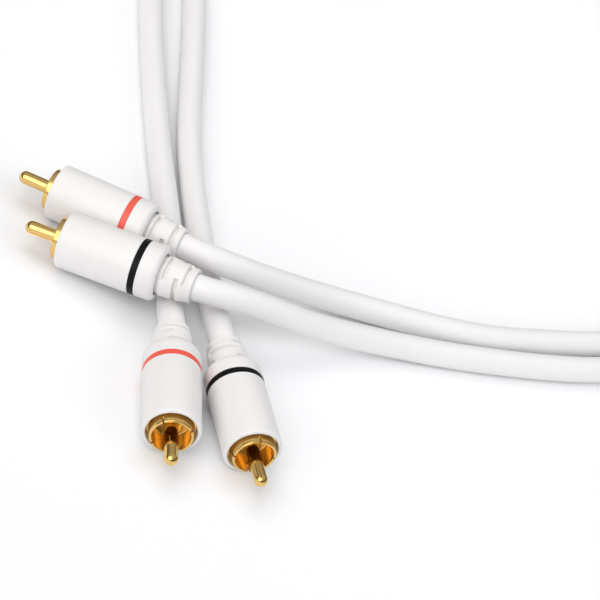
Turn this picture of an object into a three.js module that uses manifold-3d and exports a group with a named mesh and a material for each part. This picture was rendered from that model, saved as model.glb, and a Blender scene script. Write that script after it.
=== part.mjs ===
// Stereo phono audio cable: two white leads with a gold phono plug on each of their four ends.
// Millimetres, +Z up. Each plug is made lying along +Y, from its mouth at y = 0 back to its cord,
// and is then laid on the floor in its place.
import * as THREE from 'three';
import { mergeVertices } from 'three/addons/utils/BufferGeometryUtils.js';
import Module from 'manifold-3d';

const wasm = await Module();
wasm.setup();
const { Manifold, Mesh } = wasm;

// Driving dimensions
const PIN_RADIUS = 1.6;
const PIN_REACH = 9.85;
const RIM_RADIUS = 5.05;
const RIM_REACH = 1.5;
const HOUSING_RADIUS = 6.85;
const HOUSING_LENGTH = 25;
const RELIEF_LENGTH = 8.5;
const CORD_RADIUS = 3.25;

// Walls, clearances and the places of the plug's features along its axis
const FIT = 0.2;
const HOUSING_WALL = 0.95;
const HOUSING_FRONT = 0.1;
const FRONT_ROUND = 0.6;
const BACK_ROUND = 1.5;
const BACK_WALL = 1.1;
const BAND_SETBACK = 6.2;
const BAND_WIDTH = 1.65;
const BAND_DEPTH = 0.45;
const BAND_GAP = 0.08;
const PIN_WALL = 0.64;
const PIN_NOSE = 3;
const SEAM_WIDTH = 0.25;
const SEAM_START = 1.1;
const SEAM_END = 2;
const PETAL_WALL = 0.62;
const PETAL_BEVEL = 0.15;
const PETAL_SLOT_WIDTH = 0.45;
const FLANGE_RECESS = 1.5;
const FLANGE_LENGTH = 1.2;
const SHELL_STEP = 0.1;
const SHELL_WALL = 0.6;
const SHELL_END = 8.4;
const SHELL_HOLE_GAP = 1;
const SHELL_FLOOR = 3.6;
const SHELL_FLOOR_GAP = 0.4;
const INSULATOR_LENGTH = 3.2;
const PIN_TAIL = 0.6;
const CONDUCTOR_RADIUS = 0.45;
const CONDUCTOR_LENGTH = 2.1;
const DIELECTRIC_RADIUS = 1.6;
const DIELECTRIC_LENGTH = 2.3;
const FERRULE_WALL = 0.4;
const FERRULE_SETBACK = 0.5;
const FERRULE_GAP = 2.3;
const NECK_RADIUS = 4.95;
const WAIST_RADIUS = 4.6;
const TIP_RADIUS = 4.3;
const TIP_BEVEL = 0.2;
const RELIEF_FLANGE = 1.4;
const RELIEF_INSET = 2.7;
const SLOT_WIDTH = 0.8;
const SLOT_FLOOR = 0.4;
const SLOT_ARC = 1.9;
const SLOT_PLACES = [1.2, 4.1, 6.1];

// Sizes that follow from those above
const BORE_RADIUS = HOUSING_RADIUS - HOUSING_WALL;
const PLUG_END = HOUSING_LENGTH + RELIEF_LENGTH;
const SHELL_RADIUS = RIM_RADIUS + SHELL_STEP;
const SHELL_HOLE = PIN_RADIUS + SHELL_HOLE_GAP;
const SHELL_FLOOR_HOLE = PIN_RADIUS + SHELL_FLOOR_GAP;
const FLANGE_START = HOUSING_FRONT + FLANGE_RECESS;
const PIN_END = SHELL_END + PIN_TAIL;
const DIELECTRIC_START = PIN_END + CONDUCTOR_LENGTH + 2 * FIT;
const JACKET_START = DIELECTRIC_START + DIELECTRIC_LENGTH + FIT;
const RELIEF_START = HOUSING_LENGTH - RELIEF_INSET;
const BAND_START = HOUSING_LENGTH - BAND_SETBACK;

const OUTER_SIDES = 24;
const INNER_SIDES = 12;

const WHITE = { color: 0xf3f1ee, roughness: 0.45 };
const GOLD = { color: 0xd9a441, metalness: 1, roughness: 0.2 };
const PALE = { color: 0xe9e6dc, roughness: 0.6 };
const COPPER = { color: 0xb87345, metalness: 1, roughness: 0.35 };
const RED = { color: 0xf2614f, roughness: 0.45 };
const BLACK = { color: 0x232223, roughness: 0.45 };

function mesh(name, geometry, look) {
  const piece = new THREE.Mesh(geometry, new THREE.MeshStandardMaterial(look));
  piece.name = name;
  return piece;
}

// Turns an outline of [radius, place along the axis] points about the axis
function turned(points, sides) {
  return new THREE.LatheGeometry(points.map(([r, y]) => new THREE.Vector2(r, y)), sides);
}

function rod(radius, start, end, sides) {
  return turned([[0, start], [radius, start], [radius, end], [0, end]], sides);
}

function sleeve(inner, outer, start, end, sides) {
  return turned([[inner, start], [outer, start], [outer, end], [inner, end], [inner, start]], sides);
}

// Points on a quarter or other arc, from one angle to the other in degrees
function arc(r, y, radius, from, to, steps) {
  return Array.from({ length: steps + 1 }, (_, i) => {
    const angle = THREE.MathUtils.degToRad(from + ((to - from) * i) / steps);
    return [r + radius * Math.cos(angle), y + radius * Math.sin(angle)];
  });
}

function toSolid(geometry) {
  const plain = geometry.clone();
  plain.deleteAttribute('normal');
  plain.deleteAttribute('uv');
  const merged = mergeVertices(plain, 1e-4);
  return new Manifold(new Mesh({
    numProp: 3,
    vertProperties: new Float32Array(merged.attributes.position.array),
    triVerts: new Uint32Array(merged.index.array),
  }));
}

function toGeometry(solid) {
  const out = solid.getMesh();
  const geometry = new THREE.BufferGeometry();
  geometry.setAttribute('position', new THREE.BufferAttribute(out.vertProperties, 3));
  geometry.setIndex(new THREE.BufferAttribute(out.triVerts, 1));
  geometry.computeVertexNormals();
  return geometry;
}

function cut(geometry, tools) {
  return toGeometry(tools.reduce((solid, tool) => solid.subtract(toSolid(tool)), toSolid(geometry)));
}

// Centre pin: a rolled tube with a domed nose and one seam
function pin(seamAngle) {
  const nose = arc(0, PIN_RADIUS - PIN_REACH, PIN_RADIUS, -90, 0, 5);
  nose[0] = [0, -PIN_REACH];
  const bore = PIN_RADIUS - PIN_WALL;
  const boreStart = PIN_NOSE - PIN_REACH;
  const tube = turned([
    ...nose, [PIN_RADIUS, PIN_END], [bore, PIN_END], [bore, boreStart], [0, boreStart - PIN_WALL],
  ], INNER_SIDES);
  const seamStart = SEAM_START - PIN_REACH;
  const seam = new THREE.BoxGeometry(SEAM_WIDTH, SEAM_END - seamStart, 2 * PIN_RADIUS);
  seam.translate(0, (seamStart + SEAM_END) / 2, PIN_RADIUS + bore / 3);
  seam.rotateY(seamAngle);
  return cut(tube, [seam]);
}

// Ground collar: four petals in front of a flange just inside the mouth, and a cup behind it whose floor
// hides the insulator
function collar(slotAngle) {
  const flange = BORE_RADIUS - FIT;
  const bore = RIM_RADIUS - PETAL_WALL;
  const shell = turned([
    [bore, PETAL_BEVEL - RIM_REACH], [bore + PETAL_BEVEL, -RIM_REACH],
    [RIM_RADIUS - PETAL_BEVEL, -RIM_REACH], [RIM_RADIUS, PETAL_BEVEL - RIM_REACH],
    [SHELL_RADIUS, FLANGE_START], [flange, FLANGE_START], [flange, FLANGE_START + FLANGE_LENGTH],
    [SHELL_RADIUS, FLANGE_START + FLANGE_LENGTH], [SHELL_RADIUS, SHELL_END], [SHELL_HOLE, SHELL_END],
    [SHELL_HOLE, SHELL_END - SHELL_WALL], [bore, SHELL_END - SHELL_WALL],
    [bore, SHELL_FLOOR + SHELL_WALL], [SHELL_FLOOR_HOLE, SHELL_FLOOR + SHELL_WALL],
    [SHELL_FLOOR_HOLE, SHELL_FLOOR], [bore, SHELL_FLOOR], [bore, PETAL_BEVEL - RIM_REACH],
  ], OUTER_SIDES);
  const slotLength = 2 * RIM_REACH;
  const slots = [0, 1, 2, 3].map((quarter) => {
    const slot = new THREE.BoxGeometry(PETAL_SLOT_WIDTH, slotLength, RIM_RADIUS);
    slot.translate(0, HOUSING_FRONT - slotLength / 2, RIM_RADIUS);
    slot.rotateY(slotAngle + (quarter * Math.PI) / 2);
    return slot;
  });
  return cut(shell, slots);
}

function housing() {
  const front = arc(HOUSING_RADIUS - FRONT_ROUND, HOUSING_FRONT + FRONT_ROUND, FRONT_ROUND, -90, 0, 2);
  const lip = HOUSING_FRONT + FIT;
  const back = arc(HOUSING_RADIUS - BACK_ROUND, HOUSING_LENGTH - BACK_ROUND, BACK_ROUND, 0, 90, 3);
  const groove = HOUSING_RADIUS - BAND_DEPTH;
  const neck = NECK_RADIUS + FIT;
  return turned([
    [BORE_RADIUS, lip], ...front,
    [HOUSING_RADIUS, BAND_START], [groove, BAND_START],
    [groove, BAND_START + BAND_WIDTH], [HOUSING_RADIUS, BAND_START + BAND_WIDTH], ...back,
    [neck, HOUSING_LENGTH], [neck, HOUSING_LENGTH - BACK_WALL],
    [BORE_RADIUS, HOUSING_LENGTH - BACK_WALL], [BORE_RADIUS, lip],
  ], OUTER_SIDES);
}

function band() {
  return sleeve(HOUSING_RADIUS - BAND_DEPTH + BAND_GAP, HOUSING_RADIUS, BAND_START + BAND_GAP,
    BAND_START + BAND_WIDTH - BAND_GAP, OUTER_SIDES);
}

// Part of a ring, as wide as a strain relief slot, about the given angle from the top
function ringSlot(start, inner, middle) {
  const outer = NECK_RADIUS + SLOT_WIDTH;
  const centre = Math.PI / 2 - middle;
  const shape = new THREE.Shape();
  shape.absarc(0, 0, outer, centre - SLOT_ARC / 2, centre + SLOT_ARC / 2, false);
  shape.absarc(0, 0, inner, centre + SLOT_ARC / 2, centre - SLOT_ARC / 2, true);
  const slot = new THREE.ExtrudeGeometry(shape, { depth: SLOT_WIDTH, bevelEnabled: false, curveSegments: 5 });
  slot.rotateX(Math.PI / 2);
  slot.translate(0, start + SLOT_WIDTH, 0);
  return slot;
}

// Strain relief: a tapered sleeve with pairs of slots on alternate sides
function relief(slotAngle) {
  const bore = CORD_RADIUS + FIT;
  const flange = BORE_RADIUS - FIT;
  const [neckSlot, waistSlot, tipSlot] = SLOT_PLACES.map((place) => HOUSING_LENGTH + place);
  const body = turned([
    [bore, RELIEF_START], [flange, RELIEF_START],
    [flange, RELIEF_START + RELIEF_FLANGE], [NECK_RADIUS, RELIEF_START + RELIEF_FLANGE],
    [NECK_RADIUS, neckSlot], [WAIST_RADIUS, tipSlot], [(WAIST_RADIUS + TIP_RADIUS) / 2, tipSlot + SLOT_WIDTH],
    [TIP_RADIUS, PLUG_END - 2 * TIP_BEVEL], [TIP_RADIUS - TIP_BEVEL, PLUG_END],
    [bore, PLUG_END], [bore, RELIEF_START],
  ], OUTER_SIDES);
  const slots = [neckSlot, waistSlot, tipSlot].flatMap((place, step) => [0, 1].map((side) => ringSlot(
    place, CORD_RADIUS + SLOT_FLOOR, slotAngle + (step * Math.PI) / 2 + side * Math.PI,
  )));
  return cut(body, slots);
}

function plug(name, bandLook, { slotAngle, seamAngle, reliefAngle }) {
  const group = new THREE.Group();
  const insulator = RIM_RADIUS - PETAL_WALL - FIT;
  const insulatorEnd = SHELL_END - SHELL_WALL - FIT;
  const conductorStart = PIN_END + FIT;
  const ferrule = CORD_RADIUS + FIT / 2;
  const ferruleStart = JACKET_START + FERRULE_SETBACK;
  const coreBore = ferrule + FERRULE_WALL + FIT;
  group.add(
    mesh(`${name}_pin`, pin(seamAngle), GOLD),
    mesh(`${name}_collar`, collar(slotAngle), GOLD),
    mesh(`${name}_insulator`, sleeve(PIN_RADIUS + FIT, insulator, insulatorEnd - INSULATOR_LENGTH,
      insulatorEnd, INNER_SIDES), PALE),
    mesh(`${name}_conductor`, rod(CONDUCTOR_RADIUS, conductorStart, conductorStart + CONDUCTOR_LENGTH,
      INNER_SIDES), COPPER),
    mesh(`${name}_dielectric`, rod(DIELECTRIC_RADIUS, DIELECTRIC_START, DIELECTRIC_START + DIELECTRIC_LENGTH,
      INNER_SIDES), PALE),
    mesh(`${name}_ferrule`, sleeve(ferrule, ferrule + FERRULE_WALL, ferruleStart,
      RELIEF_START - FERRULE_GAP, INNER_SIDES), COPPER),
    mesh(`${name}_jacket_end`, rod(CORD_RADIUS, JACKET_START, PLUG_END - FIT / 2, INNER_SIDES), WHITE),
    mesh(`${name}_core`, sleeve(coreBore, BORE_RADIUS - FIT, SHELL_END + FIT, RELIEF_START - FIT,
      INNER_SIDES), PALE),
    mesh(`${name}_housing`, housing(), WHITE),
    mesh(`${name}_band`, band(), bandLook),
    mesh(`${name}_relief`, relief(slotAngle + reliefAngle), WHITE),
  );
  return group;
}

// Mouth of a plug beside another one that has the given mouth and yaw: on its left, a gap between their
// housings, and set back toward its cord
function beside([x, y], yaw, gap, setback) {
  const turn = THREE.MathUtils.degToRad(yaw);
  const apart = 2 * HOUSING_RADIUS + gap;
  return [
    x - apart * Math.sin(turn) + setback * Math.cos(turn),
    y + apart * Math.cos(turn) + setback * Math.sin(turn),
  ];
}

// Lays a plug with its mouth's lowest point on the floor, its cord end toward yaw and raised by pitch
function lay(group, { mouth, yaw, pitch }) {
  const turn = THREE.MathUtils.degToRad(yaw);
  const tilt = THREE.MathUtils.degToRad(pitch);
  const axis = new THREE.Vector3(
    Math.cos(turn) * Math.cos(tilt), Math.sin(turn) * Math.cos(tilt), Math.sin(tilt),
  );
  const side = new THREE.Vector3().crossVectors(axis, new THREE.Vector3(0, 0, 1)).normalize();
  const up = new THREE.Vector3().crossVectors(side, axis);
  group.quaternion.setFromRotationMatrix(new THREE.Matrix4().makeBasis(side, axis, up));
  group.position.set(mouth[0], mouth[1], HOUSING_RADIUS * Math.cos(tilt));
  group.updateMatrixWorld(true);
  return group;
}

// Where the plugs lie: two in front point at the viewer, and two at the left rest across their cords
const FRONT_BLACK_MOUTH = [-15.95, -65.57];
const FRONT_GAP = 5.82;
const FRONT_SETBACK = -0.33;
const LEFT_BLACK_MOUTH = [-62.53, -9.39];
const LEFT_BLACK_YAW = -21.7;
const LEFT_GAP = 1.07;
const LEFT_SETBACK = -8.67;
const PLACES = {
  front_red: { mouth: beside(FRONT_BLACK_MOUTH, 90, FRONT_GAP, FRONT_SETBACK), yaw: 90, pitch: 0, look: RED,
    slotAngle: -0.7, seamAngle: 2.4, reliefAngle: 1.05 },
  front_black: { mouth: FRONT_BLACK_MOUTH, yaw: 101.6, pitch: 0, look: BLACK,
    slotAngle: -0.07, seamAngle: -0.35, reliefAngle: 1.05 },
  left_red: { mouth: beside(LEFT_BLACK_MOUTH, LEFT_BLACK_YAW, LEFT_GAP, LEFT_SETBACK), yaw: -24.4, pitch: 8.2,
    look: RED, slotAngle: 1.2, seamAngle: 2.6, reliefAngle: -0.8 },
  left_black: { mouth: LEFT_BLACK_MOUTH, yaw: LEFT_BLACK_YAW, pitch: 10.8, look: BLACK,
    slotAngle: 0.84, seamAngle: 2.2, reliefAngle: -0.6 },
};

// Cord routes from each plug to the coil, as places of the cord's middle. F is its height on the floor.
const FLOOR_GAP = 0.12;
const F = CORD_RADIUS + FLOOR_GAP;
const ROUTES = {
  front_red: [
    [-35.4, -28.5, 6.2], [-35.3, -25.6, 5.2], [-35.1, -22, 4.2], [-35, -17.5, 3.7], [-35, -8, F],
    [-35.4, 4, F], [-35.9, 14, F], [-36.9, 25, F], [-38.2, 39, F], [-39.4, 57, F], [-40.6, 80, F],
    [-41.2, 103, F], [-40.9, 128, F], [-39.2, 155, F],
  ],
  front_black: [
    [-23.4, -29, 6.75], [-23.9, -25.6, 6.4], [-24.3, -22, 5.9], [-24.7, -17.5, 5.2], [-25.3, -10, 4.2],
    [-26.3, 0, F], [-27.4, 9, F], [-28.5, 19, F], [-29.4, 30, F], [-30.1, 43, F], [-30.1, 58, F],
    [-29.4, 80, F], [-28.8, 104, F], [-28.9, 126, F], [-29.8, 147, F],
  ],
  left_red: [
    [-31.3, -7.75, 12.1], [-27, -8.9, 12.3], [-21.8, -8.8, 11.6], [-16, -7.9, 10.3], [-9.7, -6.3, 8.6],
    [-2.5, -4.6, 6.8], [11.5, -1.8, 4.3], [28.3, -0.8, F], [38.7, -0.4, F], [49.5, 0.9, F],
    [60.7, 3.8, F], [75.5, 8.4, F], [87.5, 13.6, F], [97.5, 21, F], [104.5, 31, F], [108.7, 45, F],
    [110.7, 65, F], [111.5, 90, F], [112, 115, F], [113, 135, F], [115.5, 152, F], [117, 168, F],
    [116, 184, F], [110, 198, F], [99, 208, F], [85, 213.6, F], [70, 215.4, F], [54, 215.6, 4.1],
    [40, 215.7, 6.1], [30, 215.8, 8.1], [22.4, 215.9, 9.8],
  ],
  left_black: [
    [-28.2, -22.8, 13.7], [-24, -23, 14], [-19.5, -22.5, 13.5], [-14.5, -21.6, 12.4], [-3.5, -19.3, 9.3],
    [7.7, -16.1, 6.5], [24, -12.1, 4], [39.4, -9.6, F], [49.7, -7.7, F], [60.3, -5.5, F],
    [75.3, -1.4, F], [89, 4.2, F], [101.5, 12, F], [111, 23.5, F], [116.5, 39, F], [119, 60, F],
    [119.7, 90, F], [119.8, 108, 4], [119.6, 122, 6.4], [118.7, 133, 8.7], [117, 143, 10.3],
    [114.6, 153, 10.6], [112, 163, 9.6], [109.5, 173, 7], [106.8, 183, 4.2], [101, 194.5, F],
    [91, 203.3, F], [78, 207.6, F], [64, 208.6, F], [54, 208.7, 4.6], [45, 208.8, 7.4],
    [37, 209, 10.1], [32, 209.1, 11.5],
  ],
};

// The rest of both leads is wound into one round coil of a turn and a quarter, side by side
const COIL_CENTRE = [0, 178];
const COIL_RADIUS = 34.05;
const COIL_HEIGHT = 15;
const COIL_ROUND = 2.4;
const COIL_GAP = 0.15;

// Bare cord before a route's first point, straight out of the plug
const STRAIGHT = [0.3, 1.8];
const FRONT_STEP = 9.75;
const LEFT_STEP = 19.5;

// The front cords dip under the left plugs just after their own plugs, so their steps are shorter
function tube(name, place) {
  const route = ROUTES[name];
  const step = name.startsWith('front') ? FRONT_STEP : LEFT_STEP;
  const straight = STRAIGHT.map((gap) => (
    new THREE.Vector3(0, PLUG_END + gap, 0).applyMatrix4(place.matrixWorld)
  ));
  const points = [...straight, ...route.map(([x, y, z]) => new THREE.Vector3(x, y, z))];
  const path = new THREE.CatmullRomCurve3(points, false, 'centripetal');
  const section = new THREE.Shape();
  section.absarc(0, 0, CORD_RADIUS, 0, 2 * Math.PI, false);
  const steps = Math.round(path.getLength() / step);
  return new THREE.ExtrudeGeometry(section, {
    steps, extrudePath: path, curveSegments: 5, bevelEnabled: false,
  });
}

function coil() {
  const inner = COIL_RADIUS - 2 * CORD_RADIUS - COIL_GAP;
  const outer = COIL_RADIUS + 2 * CORD_RADIUS + COIL_GAP;
  const low = COIL_ROUND + FLOOR_GAP;
  const high = COIL_HEIGHT - COIL_ROUND;
  const ring = turned([
    ...arc(inner + COIL_ROUND, low, COIL_ROUND, 180, 270, 2),
    ...arc(outer - COIL_ROUND, low, COIL_ROUND, 270, 360, 2),
    ...arc(outer - COIL_ROUND, high, COIL_ROUND, 0, 90, 2),
    ...arc(inner + COIL_ROUND, high, COIL_ROUND, 90, 180, 2),
    [inner, low],
  ], 40);
  ring.rotateX(Math.PI / 2);
  ring.translate(COIL_CENTRE[0], COIL_CENTRE[1], 0);
  return ring;
}

function build() {
  const plugs = new THREE.Group();
  const cords = new THREE.Group();
  for (const [name, place] of Object.entries(PLACES)) {
    const group = lay(plug(name, place.look, place), place);
    plugs.add(group);
    cords.add(mesh(`${name}_cord`, tube(name, group), WHITE));
  }
  cords.add(mesh('coil', coil(), WHITE));

  // The origin is on the floor under the middle of the four plugs
  const box = new THREE.Box3().setFromObject(plugs, true);
  const cable = new THREE.Group();
  cable.name = 'stereo_audio_cable';
  cable.add(plugs, cords);
  cable.position.set(-(box.min.x + box.max.x) / 2, -(box.min.y + box.max.y) / 2, -box.min.z);
  cable.updateMatrixWorld(true);
  return cable;
}

export default build();
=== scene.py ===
"""Stereo phono audio cable: two white leads with gold plugs, laid on a pale floor.

The sizes are metres. Each plug has its own axes: across, along (from its mouth back to its cord) and up.
"""

import math

import bmesh
import bpy
import numpy as np
from bpy.props import FloatProperty, FloatVectorProperty, PointerProperty
from mathutils import Matrix, Vector


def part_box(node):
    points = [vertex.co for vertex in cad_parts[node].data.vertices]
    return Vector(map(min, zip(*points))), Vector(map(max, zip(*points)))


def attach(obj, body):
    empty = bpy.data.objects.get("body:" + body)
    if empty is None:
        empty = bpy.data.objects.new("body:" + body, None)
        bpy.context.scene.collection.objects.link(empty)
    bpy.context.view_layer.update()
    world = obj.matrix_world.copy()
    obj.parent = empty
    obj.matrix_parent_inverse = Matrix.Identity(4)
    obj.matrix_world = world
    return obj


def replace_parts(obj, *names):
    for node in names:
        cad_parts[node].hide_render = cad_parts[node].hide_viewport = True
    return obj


bl_info = {
    "name": "Stereo Audio Cable",
    "version": (1, 0, 0),
    "blender": (4, 5, 0),
    "location": "3D View > Sidebar > Audio Cable",
    "description": "Builds a pair of white audio leads with gold phono plugs",
    "category": "Object",
}

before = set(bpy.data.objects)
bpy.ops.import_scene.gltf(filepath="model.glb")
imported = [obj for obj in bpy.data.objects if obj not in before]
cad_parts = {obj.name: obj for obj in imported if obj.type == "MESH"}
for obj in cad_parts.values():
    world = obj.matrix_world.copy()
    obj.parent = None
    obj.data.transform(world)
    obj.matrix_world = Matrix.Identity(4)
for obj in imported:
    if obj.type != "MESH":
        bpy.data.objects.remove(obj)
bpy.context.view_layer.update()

MM = 0.001
PLUGS = ("front_red", "front_black", "left_red", "left_black")

# How each plug lies: its mouth on the floor plan in millimetres, then its yaw and pitch in degrees,
# and the angles in radians of its petal slots, of its pin's seam and of its strain relief's first slots
PLACES = {
    "front_red": {"mouth": (-35.47, -65.9), "yaw": 90, "pitch": 0,
                  "slots": -0.7, "seam": 2.4, "relief": 0.35},
    "front_black": {"mouth": (-15.95, -65.57), "yaw": 101.6, "pitch": 0,
                    "slots": -0.07, "seam": -0.35, "relief": 0.98},
    "left_red": {"mouth": (-65.13, 7.54), "yaw": -24.4, "pitch": 8.2,
                 "slots": 1.2, "seam": 2.6, "relief": 0.4},
    "left_black": {"mouth": (-62.53, -9.39), "yaw": -21.7, "pitch": 10.8,
                   "slots": 0.84, "seam": 2.2, "relief": 0.24},
}

# Rows of slots in a strain relief: from the housing's rear in millimetres, and their turn in radians
RELIEF_SLOTS = ((1.2, 0), (4.1, math.pi / 2), (6.1, math.pi))
RELIEF_SLOT_HALF_ARC = 0.95
RELIEF_STEP = 0.08 * MM

# The middle of the coil on the same floor plan, which ties the plan to the model
COIL_CENTRE = (0, 178)
COIL_START = math.pi
COIL_TURNS = 1.25
COIL_RADII = {"red": 37.4, "black": 30.7}
COIL_RISE = 6.7
COIL_POINTS_A_TURN = 24
COIL_ENTRY = {"red": ((12, 215.7, 11.3),), "black": ((12, 208.8, 12), (24, 208.9, 12.2))}

# The studio's large softbox: the direction of its middle, and its half angle and soft edge in degrees
SOFTBOX_MIDDLE = (-0.5, -0.6, 0.62)
SOFTBOX_HALF_ANGLE = 27
SOFTBOX_EDGE = 6
# The lamps: offset from the middle of the plugs, width and height, all in metres, and colour
KEY_LAMP = {"offset": (-0.4, 0.45, 1.1), "size": (1.1, 0.9), "tint": (1, 0.99, 0.97)}
FILL_LAMP = {"offset": (0.9, -0.5, 0.7), "size": (0.8, 0.8), "tint": (0.95, 0.97, 1)}
# Side of the floor in metres, so large that no view over the cable finds its edge
FLOOR_SIZE = 24
# Grey of the room round the floor, at each height of a direction of length one
ROOM_TONES = ((0, 0.05), (0.3, 0.17), (0.9, 0.55))

# F is the height of a cord's middle where it lies on the floor, in millimetres
F = 3.37
# Where each cord leaves or enters its strain relief: distances from its end in millimetres
CORD_STARTS = (-0.08, 0.3, 1.8)
# The routes from each plug to the coil on the floor plan, in millimetres
ROUTES = {
    "front_red": (
        (-35.4, -28.5, 6.2), (-35.3, -25.6, 5.2), (-35.1, -22, 4.2), (-35, -17.5, 3.7), (-35, -8, F),
        (-35.4, 4, F), (-35.9, 14, F), (-36.9, 25, F), (-38.2, 39, F), (-39.4, 57, F), (-40.6, 80, F),
        (-41.2, 103, F), (-40.9, 128, F), (-39.2, 155, F),
    ),
    "front_black": (
        (-23.4, -29, 6.75), (-23.9, -25.6, 6.4), (-24.3, -22, 5.9), (-24.7, -17.5, 5.2), (-25.3, -10, 4.2),
        (-26.3, 0, F), (-27.4, 9, F), (-28.5, 19, F), (-29.4, 30, F), (-30.1, 43, F), (-30.1, 58, F),
        (-29.4, 80, F), (-28.8, 104, F), (-28.9, 126, F), (-29.8, 147, F),
    ),
    "left_red": (
        (-31.3, -7.75, 12.1), (-27, -8.9, 12.3), (-21.8, -8.8, 11.6), (-16, -7.9, 10.3), (-9.7, -6.3, 8.6),
        (-2.5, -4.6, 6.8), (11.5, -1.8, 4.3), (28.3, -0.8, F), (38.7, -0.4, F), (49.5, 0.9, F),
        (60.7, 3.8, F), (75.5, 8.4, F), (87.5, 13.6, F), (97.5, 21, F), (104.5, 31, F), (108.7, 45, F),
        (110.7, 65, F), (111.5, 90, F), (112, 115, F), (113, 135, F), (115.5, 152, F), (117, 168, F),
        (116, 184, F), (110, 198, F), (99, 208, F), (85, 213.6, F), (70, 215.4, F), (54, 215.6, 4.1),
        (40, 215.7, 6.1), (30, 215.8, 8.1), (22.4, 215.9, 9.8),
    ),
    "left_black": (
        (-28.2, -22.8, 13.7), (-24, -23, 14), (-19.5, -22.5, 13.5), (-14.5, -21.6, 12.4), (-3.5, -19.3, 9.3),
        (7.7, -16.1, 6.5), (24, -12.1, 4), (39.4, -9.6, F), (49.7, -7.7, F), (60.3, -5.5, F),
        (75.3, -1.4, F), (89, 4.2, F), (101.5, 12, F), (111, 23.5, F), (116.5, 39, F), (119, 60, F),
        (119.7, 90, F), (119.8, 108, 4), (119.6, 122, 6.4), (118.7, 133, 8.7), (117, 143, 10.3),
        (114.6, 153, 10.6), (112, 163, 9.6), (109.5, 173, 7), (106.8, 183, 4.2), (101, 194.5, F),
        (91, 203.3, F), (78, 207.6, F), (64, 208.6, F), (54, 208.7, 4.6), (45, 208.8, 7.4),
        (37, 209, 10.1), (32, 209.1, 11.5),
    ),
}


def length(name, default, description):
    """One size in metres as a property, given in millimetres."""
    return FloatProperty(name=name, description=description, default=default * MM, min=0, unit="LENGTH",
                         precision=5)


def colour(name, default, description):
    """One colour as a property."""
    return FloatVectorProperty(name=name, description=description, default=default, min=0, max=1, size=3,
                               subtype="COLOR")


# Settings


class PlugSettings(bpy.types.PropertyGroup):
    """Sizes of one plug; all four are alike."""

    housing_radius: length("Housing radius", 6.85, "Outside radius of the white housing")
    housing_length: length("Housing length", 25, "From the housing's mouth to its rear shoulder")
    housing_wall: length("Housing wall", 0.95, "Thickness of the housing's wall")
    housing_front: length("Housing front", 0.1, "How far the housing's front face is behind the plug's mouth")
    front_round: length("Front rounding", 0.6, "Rounding of the housing's front edge")
    back_round: length("Rear rounding", 1.5, "Rounding of the housing's rear shoulder")
    back_wall: length("Rear wall", 1.1, "Thickness of the housing's rear wall")
    band_start: length("Band start", 18.8, "From the mouth to the colour band")
    band_width: length("Band width", 1.65, "Width of the colour band's groove")
    band_depth: length("Band depth", 0.45, "Depth of the colour band's groove")
    band_gap: length("Band gap", 0.05, "Gap at each side of the colour band")
    pin_radius: length("Pin radius", 1.6, "Radius of the centre pin")
    pin_reach: length("Pin reach", 9.85, "How far the pin stands out of the mouth")
    pin_tail: length("Pin tail", 0.6, "How far the pin reaches behind the collar's cup")
    seam_width: length("Seam width", 0.24, "Width of the seam along the pin")
    seam_depth: length("Seam depth", 0.3, "Depth of the seam along the pin")
    rim_radius: length("Rim radius", 5.05, "Outside radius of the petals at their ends")
    rim_reach: length("Rim reach", 1.5, "How far the petals stand out of the mouth")
    petal_wall: length("Petal wall", 0.62, "Thickness of a petal")
    slot_width: length("Petal slot width", 0.45, "Width of the slots between the petals")
    flange_recess: length("Flange recess", 1.5, "How far the collar's flange is behind the housing's front")
    flange_length: length("Flange length", 1.2, "Length of the collar's flange inside the housing")
    cup_end: length("Cup end", 8.4, "Where the collar's cup ends inside the housing")
    shell_step: length("Shell step", 0.1, "How far the petals widen from their ends to the flange")
    cup_wall: length("Cup wall", 0.6, "Thickness of the cup's end and floor")
    cup_hole_gap: length("Cup hole gap", 1, "Gap between the pin and the hole in the cup's end")
    cup_floor_gap: length("Cup floor gap", 0.4, "Gap between the pin and the cup's floor")
    cup_floor: length("Cup floor", 3.6, "How deep the gold floor that shows round the pin is")
    neck_radius: length("Neck radius", 4.95, "Strain relief radius at the housing")
    waist_radius: length("Waist radius", 4.6, "Strain relief radius at its last slots")
    tip_radius: length("Tip radius", 4.3, "Strain relief radius at the cord")
    relief_length: length("Relief length", 8.5, "How far the strain relief stands out of the housing")
    relief_slot: length("Relief slot width", 0.8, "Width of a slot across the strain relief")
    relief_slot_depth: length("Relief slot depth", 1, "Depth of a slot in the strain relief")
    relief_inset: length("Relief inset", 2.7, "How far the strain relief reaches into the housing")
    relief_flange: length("Relief flange", 1.4, "Length of the strain relief's flange inside the housing")
    valley_depth: length("Valley depth", 0.4, "Depth of the valley between housing and strain relief")
    waist_place: length("Waist place", 6.1, "From the housing's rear to the strain relief's waist")
    tip_place: length("Tip place", 7.1, "From the housing's rear to the strain relief's tip")


class CordSettings(bpy.types.PropertyGroup):
    """Sizes of the two leads."""

    radius: length("Cord radius", 3.25, "Radius of the round cord")
    length: length("Cord length", 930, "Length of one cord between its plugs")
    step: length("Cord step", 1.5, "Distance between the rings of a cord's mesh")
    smoothing: length("Cord smoothing", 5, "Stretch of cord over which a bend is evened out")


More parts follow.
